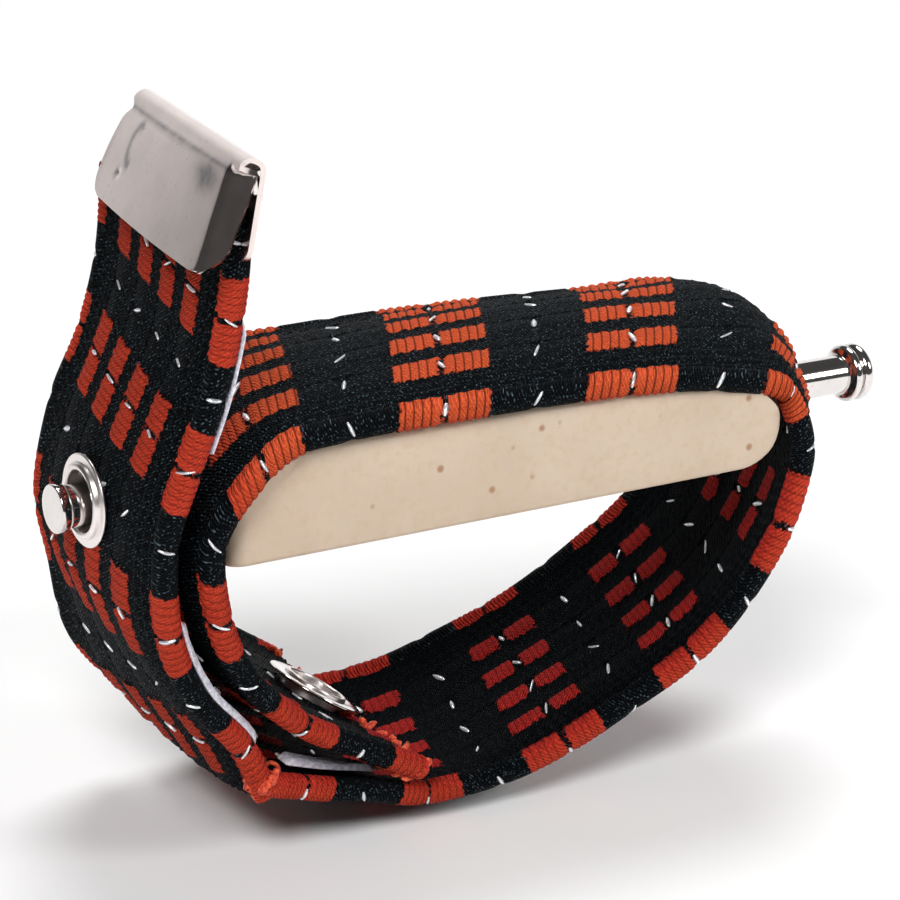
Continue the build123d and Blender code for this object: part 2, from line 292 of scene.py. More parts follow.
# ---- materials ----
class Nodes:
    """A material's nodes, made one call at a time."""

    def __init__(self, name):
        self.material = bpy.data.materials.new(name)
        self.material.use_nodes = True
        self.tree = self.material.node_tree
        self.tree.nodes.clear()

    def add(self, kind, out=0, settings=None, **inputs):
        node = self.tree.nodes.new("ShaderNode" + kind)
        for key, value in (settings or {}).items():
            setattr(node, key, value)
        for key, value in inputs.items():
            place = int(key[1:]) if key[0] == "i" and key[1:].isdigit() else key.replace("_", " ")
            socket = node.inputs[place]
            if isinstance(value, bpy.types.NodeSocket):
                self.tree.links.new(value, socket)
            else:
                socket.default_value = value
        return node.outputs[out]

    def math(self, operation, a, b=0.0, c=0.0, clamp=False):
        return self.add("Math", settings={"operation": operation, "use_clamp": clamp}, i0=a, i1=b, i2=c)

    def mad(self, a, b, c, clamp=False):
        """a * b + c."""
        return self.math("MULTIPLY_ADD", a, b, c, clamp)

    def value(self, name):
        return self.add("Attribute", out="Fac", settings={"attribute_name": name})

    def mix(self, share, a, b):
        """Colour a where share is 0 and b where it is 1."""
        colours = [k if isinstance(k, bpy.types.NodeSocket) else (*k, 1.0) for k in (a, b)]
        return self.add("Mix", out=2, settings={"data_type": "RGBA"}, i0=share, i6=colours[0], i7=colours[1])

    def step(self, value, low, high):
        """0 under low, 1 over high."""
        return self.add("MapRange", settings={"interpolation_type": "SMOOTHSTEP"},
                        Value=value, From_Min=low, From_Max=high)

    def noise(self, where, scale, detail):
        return self.add("TexNoise", out="Fac", Vector=where, Scale=scale, Detail=detail)

    def finish(self, **inputs):
        shader = self.add("BsdfPrincipled", out="BSDF", **inputs)
        output = self.tree.nodes.new("ShaderNodeOutputMaterial")
        self.tree.links.new(shader, output.inputs["Surface"])
        return self.material

    def bump(self, height, strength, distance):
        return self.add("Bump", Height=height, Strength=strength, Distance=distance * MM)


def webbing_material():
    """Woven elastic: orange wrapped rows on a black ground, from numbers kept on the mesh."""
    n = Nodes("webbing")
    along, across, taut_painted_light = n.value("along"), n.value("across"), n.value("taut_painted_light")
    where = n.add("CombineXYZ", X=along, Y=across, Z=n.value("inner"))
    fray = n.math("SUBTRACT", n.noise(where, 2.6, 3.0), 0.5)
    orange = n.step(n.mad(fray, 0.8, n.value("orange")), -0.08, 0.08)
    waver = n.math("MULTIPLY", n.noise(where, 1.1, 2.0), 7.0)
    slant = n.mad(across, 0.9, along)
    thread = n.math("SINE", n.mad(slant, 2 * math.pi / 0.34, waver))
    thread = n.mad(thread, 0.5, 0.5)
    counter = n.math("SUBTRACT", across, along)
    counter = n.math("SINE", n.mad(counter, 2 * math.pi / 0.42, waver))
    counter = n.mad(counter, 0.5, 0.5)
    fibre = n.noise(where, 6.0, 4.0)
    strands = n.math("MULTIPLY", thread, n.mad(counter, 0.5, 0.5))
    # Partly the weave's own tone from the strands and fibre noise, partly painted shade between strands and
    # painted highlights on their crests.
    weave_tone_and_painted_light = n.mad(strands, 0.5, n.mad(fibre, 0.9, -0.12), clamp=True)
    # Painted light: two copies of the same orange, a darker shaded one for the slack runs and a brighter lit
    # one for the taut run over the bar.
    slack_shaded_orange = n.mix(weave_tone_and_painted_light, (0.33, 0.008, 0.008), (0.90, 0.095, 0.036))
    drawn_lit_orange = n.mix(weave_tone_and_painted_light, (0.52, 0.022, 0.007), (1.0, 0.190, 0.058))
    warm = n.mix(taut_painted_light, slack_shaded_orange, drawn_lit_orange)
    # The inner face and the cords' undersides turn crimson: partly the thread's own hue, partly painted shade
    # on the sides away from the light.
    crimson_and_inner_shade = n.mix(weave_tone_and_painted_light, (0.30, 0.004, 0.006), (0.62, 0.022, 0.026))
    orange_with_painted_light = n.mix(n.math("MULTIPLY", n.value("inner"), 0.8), warm, crimson_and_inner_shade)
    # Painted shade in the valleys between thread wraps, deeper where the strap is taut.
    gap = n.step(n.value("wrap"), 0.0, 0.5)
    gap = n.math("MAXIMUM", gap, n.mad(taut_painted_light, -0.35, 0.6))
    orange_with_painted_light = n.mix(gap, (0.06, 0.004, 0.002), orange_with_painted_light)
    ground = n.mix(strands, (0.0008, 0.0012, 0.0016), (0.0060, 0.0085, 0.0115))
    glint = n.step(n.noise(where, 4.4, 1.0), 0.57, 0.67)
    glint = n.math("MULTIPLY", glint, n.math("MULTIPLY", strands, 1.1), clamp=True)
    glint = n.math("MULTIPLY", glint, n.mad(n.value("inner"), -0.9, 1.0))
    ground = n.mix(glint, ground, (0.12, 0.18, 0.22))
    colour = n.mix(orange, ground, orange_with_painted_light)
    height = n.mad(strands, 0.9, fibre)
    normal = n.bump(height, 1.0, 0.28)
    rough = n.mad(orange, 0.2, 0.62)
    shine = n.mad(orange, 0.08, 0.04)
    return n.finish(Base_Color=colour, Roughness=rough, Normal=normal, Specular_IOR_Level=shine)


def metal_material(name, colour, rough, scuff=0.06, lumps=0.05):
    """Nickel plate with faint wiping marks and specks; where a piece carries smudge values, darker handling
    marks and a painted shade line are mixed in.
    """
    n = Nodes(name)
    where = n.add("TexCoord", out="Object")
    wipe = n.noise(where, 900.0, 3.0)
    cloud = n.noise(where, 160.0, 3.0)
    speck = n.step(n.noise(where, 2600.0, 1.0), 0.66, 0.74)
    dark = tuple(k * 0.72 for k in colour)
    base = n.mix(n.math("MULTIPLY", n.step(cloud, 0.35, 0.75), 0.45), colour, dark)
    base = n.mix(n.math("MULTIPLY", speck, 0.35), base, tuple(k * 0.5 for k in colour))
    # Darkens the tab where its values say: handling marks, and painted shade in a line under the fold.
    mark = n.math("MULTIPLY", n.value("smudge_and_shade"), n.mad(wipe, 1.2, 0.4), clamp=True)
    base = n.mix(mark, base, (0.10, 0.10, 0.115))
    roughness = n.mad(wipe, scuff, rough)
    normal = n.bump(wipe, lumps, 0.02)
    return n.finish(Base_Color=base, Metallic=1.0, Roughness=roughness, Normal=normal)


def rubber_material():
    """Cream natural rubber: cloudy, with fine brown specks and a matt skin."""
    n = Nodes("pad_rubber")
    where = n.add("TexCoord", out="Object")
    cloud = n.noise(where, 120.0, 4.0)
    grain = n.noise(where, 1500.0, 4.0)
    base = n.mix(n.step(cloud, 0.3, 0.7), (0.53, 0.415, 0.31), (0.585, 0.47, 0.36))
    base = n.mix(n.math("MULTIPLY", n.step(grain, 0.45, 0.75), 0.35), base, (0.50, 0.34, 0.21))
    cell = n.add("TexVoronoi", out="Distance", Vector=where, Scale=450.0)
    pick = n.add("TexVoronoi", out="Color", Vector=where, Scale=450.0)
    chosen = n.step(n.add("SeparateColor", Color=pick), 0.38, 0.44)
    spot = n.math("MULTIPLY", n.math("SUBTRACT", 1.0, n.step(cell, 0.07, 0.20)), chosen)
    base = n.mix(n.math("MULTIPLY", spot, 0.8), base, (0.30, 0.14, 0.05))
    normal = n.bump(n.mad(spot, -0.6, grain), 0.35, 0.06)
    return n.finish(Base_Color=base, Roughness=n.mad(grain, 0.2, 0.55), Normal=normal,
                    Subsurface_Weight=0.12, Subsurface_Scale=0.002, Subsurface_Radius=(1.0, 0.5, 0.3))


def fleece_material():
    """Pale brushed tape, slightly lilac, with a nap of fine fibres."""
    n = Nodes("lining")
    where = n.add("TexCoord", out="Object")
    nap = n.noise(where, 2400.0, 5.0)
    cloud = n.noise(where, 420.0, 3.0)
    base = n.mix(n.step(nap, 0.3, 0.7), (0.50, 0.48, 0.58), (0.86, 0.85, 0.92))
    base = n.mix(n.math("MULTIPLY", n.step(cloud, 0.5, 0.8), 0.3), base, (0.60, 0.58, 0.70))
    normal = n.bump(n.math("ADD", nap, cloud), 0.8, 0.25)
    return n.finish(Base_Color=base, Roughness=0.95, Normal=normal, Sheen_Weight=0.3)


def thread_material():
    """Orange sewing thread, twisted."""
    n = Nodes("thread")
    where = n.add("TexCoord", out="Object")
    ply = n.noise(where, 3000.0, 3.0)
    base = n.mix(n.step(ply, 0.35, 0.7), (0.45, 0.02, 0.008), (0.95, 0.14, 0.04))
    return n.finish(Base_Color=base, Roughness=0.8, Normal=n.bump(ply, 0.6, 0.1), Sheen_Weight=0.1)


def lurex_material():
    """Flat silver foil thread, with a faint glow painted in by emission."""
    n = Nodes("silver_thread")
    where = n.add("TexCoord", out="Object")
    crinkle = n.noise(where, 1800.0, 2.0)
    base = n.mix(n.step(crinkle, 0.4, 0.65), (0.55, 0.57, 0.62), (0.97, 0.97, 0.98))
    # Painted light: a faint white emission makes the foil glow.
    return n.finish(Base_Color=base, Metallic=0.75, Roughness=0.28, Normal=n.bump(crinkle, 0.7, 0.15),
                    Emission_Color=(1, 1, 1, 1), Emission_Strength=0.14)


WEBBING = webbing_material()
NICKEL = metal_material("nickel", (0.80, 0.76, 0.74), 0.08)
TAB_NICKEL = metal_material("tab_nickel", (0.84, 0.735, 0.70), 0.10, 0.10, 0.25)
FLANGE_NICKEL = metal_material("flange_nickel", (0.88, 0.82, 0.80), 0.24, 0.12, 0.15)
RUBBER = rubber_material()
FLEECE = fleece_material()
THREAD = thread_material()
LUREX = lurex_material()
CORE = metal_material("core_steel", (0.5, 0.5, 0.52), 0.35)


# ---- webbing ----
def face_samples():
    """v of the points across one face, close together where the rows are round."""
    marks = [-FACE_END]
    for centre in INNER_ROWS:
        marks += [centre + ROW_HALF * math.sin(math.radians(a)) for a in (-90, -58, -28, 0, 28, 58, 90)]
    marks.append(FACE_END)
    samples, gap = [], 0.55
    for a, b in zip(marks, marks[1:]):
        parts = max(1, round((b - a) / gap))
        samples += [a + (b - a) * i / parts for i in range(parts)]
    return np.array(samples + [FACE_END])


def run_samples(start, end):
    """u of the rows of points along a run: even steps through each wrap of thread."""
    marks = [start, end]
    for middle in range(math.floor(start) - 1, math.ceil(end) + 2):
        if middle % 2:
            spread = np.linspace(BLOCK_HALF - 1, 1 - BLOCK_HALF, 23)[1:-1]
        else:
            half = np.linspace(PINCH_HALF, BLOCK_HALF, 4 * WRAPS + 1)
            spread = [*(-half[::-1]), -PINCH_HALF / 3, PINCH_HALF / 3, *half]
        marks += [middle + s for s in spread if start + 1e-3 < middle + s < end - 1e-3]
    return np.array(sorted(marks))


def weave(u, v):
    """The weave at (u, v): how far inside the orange, wrap roundness, whether in a block, pinch."""
    middle = 2 * np.round(u / 2)
    off = np.abs(u - middle)
    row = np.argmin(np.abs(v[..., None] - np.array(INNER_ROWS)), -1)
    from_row = np.abs(v - np.array(INNER_ROWS)[row])
    on_cord = np.abs(v) > FACE_END - 1e-6
    which = np.where(on_cord, np.sign(v) * 9.7, row * 4.1)
    jitter = 0.035 * np.sin(middle * 12.9898 + which * 78.233)      # each block ends a little off
    inside_u = np.minimum(off - PINCH_HALF * 0.6, BLOCK_HALF + jitter - off) * HALF_REPEAT
    inside_v = np.where(on_cord, DEEP, ROW_HALF - from_row)
    orange = np.minimum(inside_u, inside_v)
    orange = np.where(on_cord & (v < 0) & (u > KINK_FROM) & (u < KINK_TO), DEEP, orange)
    phase = (off - PINCH_HALF) / (BLOCK_HALF - PINCH_HALF) * WRAPS
    wrap = np.abs(np.sin(math.pi * phase))
    in_block = (off > PINCH_HALF) & (off < BLOCK_HALF)
    wrap = np.where(in_block, wrap, 1.0)
    near_dash = np.abs(u - np.round(u))
    pinch = 1 - smooth(near_dash / 0.12)
    return orange, wrap, in_block, pinch


def stretch(u):
    """How far the elastic is drawn out: 1 over the bar, 0 where it hangs slack."""
    return smooth((u - 5.2) / 1.2) * smooth((13.4 - u) / 1.2)


def last_u(v):
    """u of the strap's cut end at v: the cut slants across the weave."""
    return CUT_NEAR - CUT_SLANT * (v + EDGE_ROW) / (2 * EDGE_ROW)


def cord_ring(centre, start, end):
    """Kind, v and lift of the points round an edge cord, between two angles in degrees."""
    return [("cord", centre + EDGE_RADIUS * math.cos(angle), EDGE_RADIUS * math.sin(angle))
            for angle in np.radians(np.linspace(start, end, CORD_STEPS))]


def web(name, start, end, free=False, holes=(), level_cut=False):
    """A length of the strap, open at both ends. On its two faces lifts holds only which face it is."""
    flat = face_samples()
    ring = [("outer", v, 1.0) for v in flat] + cord_ring(EDGE_ROW, 180 - CORD_TURN, -180 + CORD_TURN)
    ring += [("inner", v, -1.0) for v in flat[::-1]] + cord_ring(-EDGE_ROW, -CORD_TURN, -360 + CORD_TURN)
    kinds, vs, lifts = (np.array(column) for column in zip(*ring))
    us = run_samples(start, end)
    u = np.repeat(us[:, None], len(vs), 1)
    v = np.repeat(vs[None, :], len(us), 0)
    if level_cut:
        u = np.where(u > CUT_FROM, CUT_FROM + (u - CUT_FROM) * (last_u(v) - CUT_FROM) / (end - CUT_FROM), u)
    cord = (kinds == "cord")[None, :]
    v_pattern = np.where(cord, np.sign(v) * EDGE_ROW, v)
    orange, wrap, in_block, pinch = weave(u, v_pattern)
    orange = orange - 0.26 * (kinds == "inner")[None, :]
    lobe = (wrap - 0.6) * (0.08 + 0.10 * stretch(u)) * in_block
    from_row = np.min(np.abs(v[..., None] - np.array(INNER_ROWS)), -1)
    round_row = np.sqrt(np.clip(1 - (from_row / ROW_HALF) ** 2, 0, 1))
    rib = 0.22 * np.abs(np.cos(v * math.pi / 1.07))
    on_row = from_row < ROW_HALF
    full = np.where(in_block, 1.0, 0.55)
    rib = rib * (1 + 0.35 * np.sin(u * 43 + v * 5))
    height = BASE_LIFT + np.where(on_row, ROW_RISE * round_row * full, rib)
    height += np.where(on_row, lobe * round_row, 0) - 0.16 * pinch * round_row
    face_lift = np.sign(lifts)[None, :] * height
    swell = 1 + (lobe - 0.12 * pinch) / EDGE_RADIUS
    centre = np.sign(v) * EDGE_ROW
    cord_v = centre + (v - centre) * swell
    cord_lift = lifts[None, :] * swell
    v = np.where(cord, cord_v, v)
    lift = np.where(cord, cord_lift, face_lift)
    if free:
        lift = lift * read(SQUEEZE, u)
    points = on_strap(u, v, lift, free)
    rows, columns = points.shape[:2]
    # How far each cord point faces the inner side; it feeds the crimson, partly painted shade, in the
    # material.
    under = np.clip(-lifts[None, :] / EDGE_RADIUS, 0, 1) * 0.7
    inner = np.broadcast_to(np.where(cord, under, (kinds == "inner")[None, :] * 1.0), u.shape)
    along = distances(on_strap(us, 0 * us, 0 * us, free)) + 50 * start      # so no two pieces' noise is alike
    across = np.broadcast_to(np.where(kinds == "cord", np.sign(vs) * EDGE_ROW + lifts, vs), u.shape)
    values = {
        "orange": orange,
        "wrap": wrap,
        "inner": inner,
        # Painted light: this share picks the brighter lit orange and the deeper wrap shade in the material.
        "taut_painted_light": 0 * u if free else stretch(u),
        "along": np.repeat(along[:, None], columns, 1),
        "across": across,
    }
    faces = tube_faces(rows, columns, caps=False)
    faces = cut_holes(faces, points, rows, columns, len(flat), holes)
    piece = mesh_piece(name, points.reshape(-1, 3), faces, WEBBING, values=values)
    return piece


def cut_holes(faces, points, rows, columns, flat_count, holes):
    """Takes out the cells round each hole's axis, on both faces, and walls the hole in."""
    if not holes:
        return faces
    inner_first = flat_count + CORD_STEPS
    depth = 4.0                # a hole goes no further than this from its origin
    removed = set()
    for origin, axis, radius in holes:
        origin, axis = np.array(origin), np.array(axis) / np.linalg.norm(axis)
        for i in range(rows - 1):
            for j in range(flat_count - 1):
                middle = points[i:i + 2, j:j + 2].reshape(-1, 3).mean(0) - origin
                reach = abs(middle @ axis)
                if reach < depth and np.linalg.norm(middle - axis * (middle @ axis)) < radius:
                    removed.add((i, j))
    mirror = {j: inner_first + flat_count - 1 - j for j in range(flat_count)}
    gone = {i * columns + k for i, j in removed for k in (j, mirror[j + 1])}
    body = (rows - 1) * columns
    kept = [face for k, face in enumerate(faces) if k >= body or k not in gone]
    for i, j in removed:
        corners = {(-1, 0): ((i, j + 1), (i, j)), (1, 0): ((i + 1, j), (i + 1, j + 1)),
                   (0, -1): ((i, j), (i + 1, j)), (0, 1): ((i + 1, j + 1), (i, j + 1))}
        for (di, dj), (a, b) in corners.items():
            if (i + di, j + dj) not in removed:
                outer_a, outer_b = a[0] * columns + a[1], b[0] * columns + b[1]
                inner_a, inner_b = a[0] * columns + mirror[a[1]], b[0] * columns + mirror[b[1]]
                kept.append((outer_a, outer_b, inner_b, inner_a))
    return kept


def dashes(name, start, end, free=False):
    """The silver threads that cross every row at each half repeat."""
    rng = random.Random(name)
    points, faces = [], []
    for u in range(math.ceil(start + 0.05), math.floor(end - 0.05) + 1):
        rows = [(c, side) for c in INNER_ROWS for side in (1, -1)] + [(EDGE_ROW, 0), (-EDGE_ROW, 0)]
        for centre, side in rows:
            if free and u > last_u(centre) - 0.3:
                continue
            half = rng.uniform(0.018, 0.034)
            slant = rng.uniform(-0.06, 0.06)
            if side:
                reach = rng.uniform(0.22, 0.56)
                shares = np.linspace(-1, 1, 9)
                vs = centre + ROW_HALF * reach * shares
                row_top = (0.55 if u % 2 else 1.0) * ROW_RISE * np.sqrt(1 - (reach * shares) ** 2)
                lifts = side * (BASE_LIFT + row_top - 0.12)
            else:
                shares = np.linspace(-1, 1, 19)
                middle = math.radians(rng.uniform(20, 60))
                angles = middle + np.radians(shares * rng.uniform(28, 46))
                vs = centre + math.copysign(1, centre) * (EDGE_RADIUS - 0.1) * np.cos(angles)
                lifts = (EDGE_RADIUS - 0.1) * np.sin(angles)
            first = len(points)
            for share, at_v, at_lift in zip(shares, vs, lifts):
                out = (0.0, side) if side else ((at_v - centre) / EDGE_RADIUS, at_lift / EDGE_RADIUS)
                wide = half * math.sqrt(1 - 0.7 * share * share)
                for du, rise in ((-wide, 0.0), (0.0, 0.13), (wide, 0.0), (0.0, -0.1)):
                    points.append((u + slant * share + du, at_v + out[0] * rise, at_lift + out[1] * rise))
            faces += tube_faces(len(shares), 4, first)
    grid = np.array(points)
    places = on_strap(grid[:, 0], grid[:, 1], grid[:, 2], free)
    return mesh_piece(name, places, faces, LUREX)


def lining(name, start, end, free, thick, span, off):
    """Fleecy tape over the span of v, this far off the strap's inner face."""
    middle, half = (span[0] + span[1]) / 2, (span[1] - span[0]) / 2
    us = np.linspace(start, end, max(8, round((end - start) * 14)))
    columns = 34
    end_round = 0.12           # u over which each end is rounded
    rng = np.random.default_rng(len(name))
    rows = []
    for u in us:
        rounded = 1 - (1 - min(min(u - start, end - u) / end_round, 1)) ** 2
        size = half * math.sqrt(np.clip(rounded, 0.6, 1))
        depth = thick * math.sqrt(np.clip(rounded, 0.1, 1))
        spread = np.linspace(-1, 1, columns // 2)
        waver = 0.12 * np.sin(spread * 9 + u * 3) + rng.normal(0, 0.03, len(spread))
        rim = np.sqrt(np.clip(1 - spread ** 8, 0, 1))
        top = -BASE_LIFT - off + 0 * spread
        low = top - depth * (0.15 + 0.85 * rim) + waver * rim * 0.5
        vs = middle + np.concatenate([spread * size, spread[::-1] * size])
        lifts = np.concatenate([top, low[::-1]])
        rows.append(np.stack([0 * vs + u, vs, lifts], -1))
    grid = np.array(rows)
    places = on_strap(grid[..., 0], grid[..., 1], grid[..., 2], free)
    piece = mesh_piece(name, places.reshape(-1, 3), tube_faces(len(us), columns), FLEECE)
    return piece


def box_middle(node):
    low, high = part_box(node)
    return (low + high) / 2 / MM


def seat(u, lift):
    """A point over the strap's middle, in the model's frame."""
    return on_strap(u, 0.0, lift)


HOLE = 2.95                # radius of the holes in the strap
SPARE_U = 0.62             # where the spare eyelet sits
AT_LEFT, AT_RIGHT = box_middle("left_eyelet"), box_middle("right_eyelet")
AT_HOOK, AT_SPARE = box_middle("hooked_eyelet"), seat(SPARE_U, 0.0)
SPARE_AXIS = seat(SPARE_U, 1.0) - AT_SPARE      # towards the loop below: back to front
ALONG_X = (1, 0, 0)

# u of the strap's ends and of the cuts between its pieces
TAIL_START, BAR_START, LOOP_START, LOOP_END = 0.0, 5.1, 13.1, 22.95
FREE_START, TIP_START, TIP_END = 23.3, 28.05, 31.4

tail = web("strap_tail_web", TAIL_START, BAR_START, holes=[(AT_SPARE, SPARE_AXIS, HOLE)])
over_bar = web("strap_over_bar_web", BAR_START, LOOP_START)
loop = web("strap_loop_web", LOOP_START, LOOP_END)
free_run = web("strap_free_run_web", FREE_START, TIP_START, True, holes=[(AT_HOOK, ALONG_X, HOLE)])
tip = web("strap_tip_web", TIP_START, TIP_END, True, level_cut=True)
for piece, node in ((tail, "strap_tail"), (over_bar, "strap_over_bar"), (loop, "strap_loop")):
    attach(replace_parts(piece, node), "bar")
for name, start, end in (("silver_tail", TAIL_START, BAR_START), ("silver_over_bar", BAR_START, LOOP_START),
                         ("silver_loop", LOOP_START, LOOP_END)):
    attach(dashes(name, start, end), "bar")

silver_free = dashes("silver_free_run", FREE_START, TIP_START, True)
silver_tip = dashes("silver_tip", TIP_START, TIP_END, True)
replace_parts(free_run, "strap_free_run")
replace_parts(tip, "strap_tip")
lining_free = lining("lining_free_run_tape", 23.9, 26.1, True, 0.6, (-11.8, -10.1), 0.45)
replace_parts(lining_free, "lining_free_run")
lining_tip = lining("lining_tip_tape", TIP_START + 0.1, 30.0, True, 0.8, (-12.35, 11.6), 0.36)
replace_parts(lining_tip, "lining_tip")
lining_loop = lining("lining_loop_tape", 20.8, 22.3, False, 0.6, (-10.4, -8.4), 0.7)
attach(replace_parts(lining_loop, "lining_loop"), "bar")


for piece in (free_run, silver_free, lining_free):
    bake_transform(piece)
for piece in (tip, silver_tip, lining_tip):
    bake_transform(piece)


# ---- pad ----
def pad_roof(y):
    """How far the pad's roof has dropped from its ridge at y."""
    return 0.4 * float(roof(np.array(y))[1]) + 0.42 * (y / EDGE_ROW) ** 2


PAD_STEPS = 60             # lengths of the pad between its rows of points
PAD_TOP_RADIUS, PAD_LOW_RADIUS, PAD_SIDE_RADIUS = 8.0, 4.6, 1.6     # how its ends are rounded
PAD_SLOPE = 0.5            # how much lower its underside is at the left end


def drawn_in(radius, room):
    """How far a corner of this radius has drawn in, at this much room from the end."""
    return radius - math.sqrt(max(0, radius ** 2 - max(0, radius - room) ** 2)) if room < radius else 0


def rubber_pad():
    """A loaf of rubber whose roof fills the underside of the strap."""
    _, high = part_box("rubber_pad")
    half_length, half_width = high.x / MM, high.y / MM
    crest = high.z / MM - 0.1
    side_top = crest - pad_roof(half_width)
    rows = []
    for k in range(PAD_STEPS + 1):
        share = math.sin((k / PAD_STEPS * 2 - 1) * math.pi / 2)
        x = share * half_length
        room = half_length - abs(x)
        top_drop = drawn_in(PAD_TOP_RADIUS, room)
        low_rise = drawn_in(PAD_LOW_RADIUS, room) if x > 0 else 0
        low_rise -= PAD_SLOPE * (half_length - x) / (2 * half_length)
        width = half_width - drawn_in(PAD_SIDE_RADIUS, room)
        roof_top = crest - top_drop
        shoulder = max(side_top - top_drop * 0.8, low_rise + 0.6)
        corner = 0.5
        side = [(width - corner * 0.3, low_rise + corner * 0.3), (width, low_rise + corner)]
        side += [(width, low_rise + (shoulder - low_rise) * s) for s in (0.25, 0.5, 0.75, 0.93)]
        over = [(y, max(roof_top - pad_roof(y), low_rise + corner))
                for y in np.linspace(-width, width, 25)[1:-1]]
        outline = [(-y, z) for y, z in side] + over + side[::-1]
        outline += [(y, low_rise) for y in np.linspace(width - corner, -width + corner, 12)]
        rows.append([(x, y, z) for y, z in outline])
    columns = len(rows[0])
    points = np.array(rows).reshape(-1, 3)
    piece = sharpen(mesh_piece("rubber_pad_body", points, tube_faces(len(rows), columns), RUBBER), 50)
    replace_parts(piece, "rubber_pad")
    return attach(piece, "bar")


rubber_pad()
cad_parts["core_bar"].data.materials.clear()
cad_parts["core_bar"].data.materials.append(CORE)


# ---- pegs and eyelets ----
def peg_frame(angle):
    """A frame on the pegs' axis whose Z points along +X for 90 and -X for -90."""
    return Matrix.Translation((0, 0, PEG_Z)) @ Matrix.Rotation(math.radians(angle), 4, "Y")


STEM, STEM_END = 1.2, 24.0          # radius of each peg's stem in the bar, and x where it ends


def left_peg():
    """A plain peg with a small flat head, and stepped collars where it leaves the bar."""
    low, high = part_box("left_peg")
    reach, root = -low.x / MM, -high.x / MM
    collar = 30.1
    profile = [(0, root), (STEM, root), (STEM, STEM_END), (2.3, STEM_END), (2.3, collar),
               *arc(2.12, collar + 0.3, 0.18, 0, 80, 4),
               (2.02, collar + 0.5), *arc(1.92, collar + 0.85, 0.14, 0, 80, 4), (1.72, collar + 1.05),
               (1.7, reach - 1.05), *arc(1.78, reach - 0.88, 0.12, -80, -20, 3), (1.95, reach - 0.7),
               *arc(1.83, reach - 0.12, 0.12, 0, 80, 4), (1.5, reach - 0.02), (0, reach)]
    piece = lathe("left_peg_turned", profile, NICKEL, peg_frame(-90))
    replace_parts(piece, "left_peg")
    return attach(piece, "bar")


def right_peg():
    """A plain peg with a larger head, grooved round its middle."""
    low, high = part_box("right_peg")
    root, reach = low.x / MM, high.x / MM
    head = reach - 2.0
    profile = [(0, root), (STEM, root), (STEM, STEM_END), (1.7, STEM_END), (1.7, head - 0.1), (1.9, head),
               *arc(2.05, head + 0.45, 0.45, -80, 70, 7), (2.15, head + 0.98), (2.15, head + 1.06),
               *arc(1.95, head + 1.5, 0.55, -60, 75, 8), (1.2, reach - 0.03), (0, reach)]
    piece = lathe("right_peg_turned", profile, NICKEL, peg_frame(90))
    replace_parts(piece, "right_peg")
    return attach(piece, "bar")


def eyelet(name, place, body, node, outer=3.75, face=1.15):
    """A broad flange with a raised lip round its hole, and its washer on the other face."""
    hole = 2.45
    rim = [(hole + 0.02, face - 0.1), *arc(hole + 0.3, face + 0.36, 0.3, 180, 10, 8),
           (hole + 0.66, face + 0.24), (outer - 0.25, face + 0.2),
           *arc(outer - 0.14, face + 0.08, 0.14, 70, -90, 5), (hole + 0.4, face - 0.1)]
    barrel = [(hole + 0.4, -face - 0.2), *arc(hole + 0.2, -face - 0.34, 0.2, 0, -180, 8)]
    piece = lathe(name + "_ring", rim + barrel + rim[:1], FLANGE_NICKEL, place)
    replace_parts(piece, node)
    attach(piece, body)
    washer = [(hole + 0.45, -face + 0.05), (hole + 0.45, -face - 0.22), (hole + 0.9, -face - 0.26),
              *arc(outer - 0.14, -face - 0.1, 0.14, -80, 80, 5)]
    ring = lathe(name + "_washer_ring", washer + washer[:1], NICKEL, place)
    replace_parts(ring, node + "_washer")
    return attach(ring, body)


def eyelet_place(centre, outward):
    """A frame at centre whose Z points outward."""
    turn = Vector(outward).to_track_quat("Z", "Y").to_matrix().to_4x4()
    return Matrix.Translation(centre) @ turn


left_peg()
right_peg()
eyelet("left_eyelet", eyelet_place(AT_LEFT, (-1, 0, 0)), "bar", "left_eyelet")
eyelet("right_eyelet", eyelet_place(AT_RIGHT, (1, 0, 0)), "bar", "right_eyelet")
eyelet("hooked_eyelet", eyelet_place(AT_HOOK, (-1, 0, 0)), "free_end", "hooked_eyelet")
eyelet("spare_eyelet", eyelet_place(AT_SPARE, SPARE_AXIS), "bar", "spare_eyelet", outer=4.3, face=1.6)


# ---- pull tab ----
def sheet_piece(name, points, thick, material, values=None):
    """A bent sheet from a grid of points on its middle surface. values are grids of named numbers."""
    doubled = {key: np.concatenate([np.ravel(grid)] * 2) for key, grid in (values or {}).items()}
    rows, columns = points.shape[:2]
    du = np.gradient(points, axis=0)
    dv = np.gradient(points, axis=1)
    normal = np.cross(du, dv)
    normal /= np.linalg.norm(normal, axis=-1, keepdims=True)
    sides = [points + normal * thick / 2, points - normal * thick / 2]
    ring = [(i, 0) for i in range(rows)] + [(rows - 1, j) for j in range(1, columns)]
    ring += [(i, columns - 1) for i in range(rows - 2, -1, -1)] + [(0, j) for j in range(columns - 2, 0, -1)]
    faces = []
    half = rows * columns
    for i in range(rows - 1):
        for j in range(columns - 1):
            a, d = i * columns + j, (i + 1) * columns + j
            b, c = a + 1, d + 1
            faces.append((a, d, c, b))
            faces.append((half + a, half + b, half + c, half + d))
    for (i, j), (k, m) in zip(ring, ring[1:] + ring[:1]):
        a, b = i * columns + j, k * columns + m
        faces.append((a, half + a, half + b, b))
    points = np.concatenate([side.reshape(-1, 3) for side in sides])
    return sharpen(mesh_piece(name, points, faces, material, values=doubled), 35)


